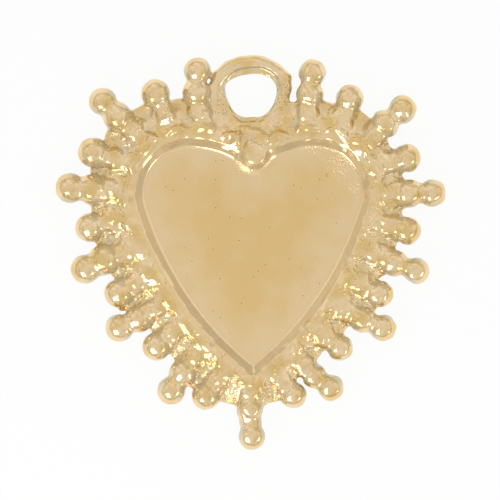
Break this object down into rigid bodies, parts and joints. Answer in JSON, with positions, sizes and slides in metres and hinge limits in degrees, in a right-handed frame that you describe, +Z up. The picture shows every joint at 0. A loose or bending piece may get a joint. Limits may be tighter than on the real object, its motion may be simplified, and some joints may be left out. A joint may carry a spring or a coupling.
{
  "type": "heart charm",
  "caption": "Heart-shaped cast metal charm with a recessed satin tray, a beaded bezel, radiating beaded rays and a fixed hanging loop.",
  "frame": {"origin": "centre of the hanging loop's hole, halfway through its thickness", "axes": "+Z up towards the top of the loop, the heart's front faces -Y, +X to the right as seen from the front"},
  "size_m": [0.0296, 0.0023, 0.03],
  "materials": {
    "polished_gold": "cast brass, gold plated and tumbled to a high polish",
    "satin_gold": "cast brass, gold plated, satin as-cast skin with small pits"
  },
  "bodies": {
    "root": {"back_plate": "satin_gold", "bezel_wall": "polished_gold", "wall_granules": "polished_gold", "cleft_granule": "polished_gold", "hanging_loop": "polished_gold", "ray_01": "polished_gold", "ray_02": "polished_gold", "ray_03": "polished_gold", "ray_04": "polished_gold", "ray_05": "polished_gold", "ray_06": "polished_gold", "ray_07": "polished_gold", "ray_08": "polished_gold", "ray_09": "polished_gold", "ray_10": "polished_gold", "ray_11": "polished_gold", "ray_12": "polished_gold", "ray_13": "polished_gold", "ray_14": "polished_gold", "ray_15": "polished_gold", "ray_16": "polished_gold", "ray_17": "polished_gold", "ray_18": "polished_gold", "ray_19": "polished_gold", "ray_20": "polished_gold", "ray_21": "polished_gold", "ray_22": "polished_gold", "ray_23": "polished_gold", "ray_24": "polished_gold", "ray_25": "polished_gold"}
  },
  "joints": []
}
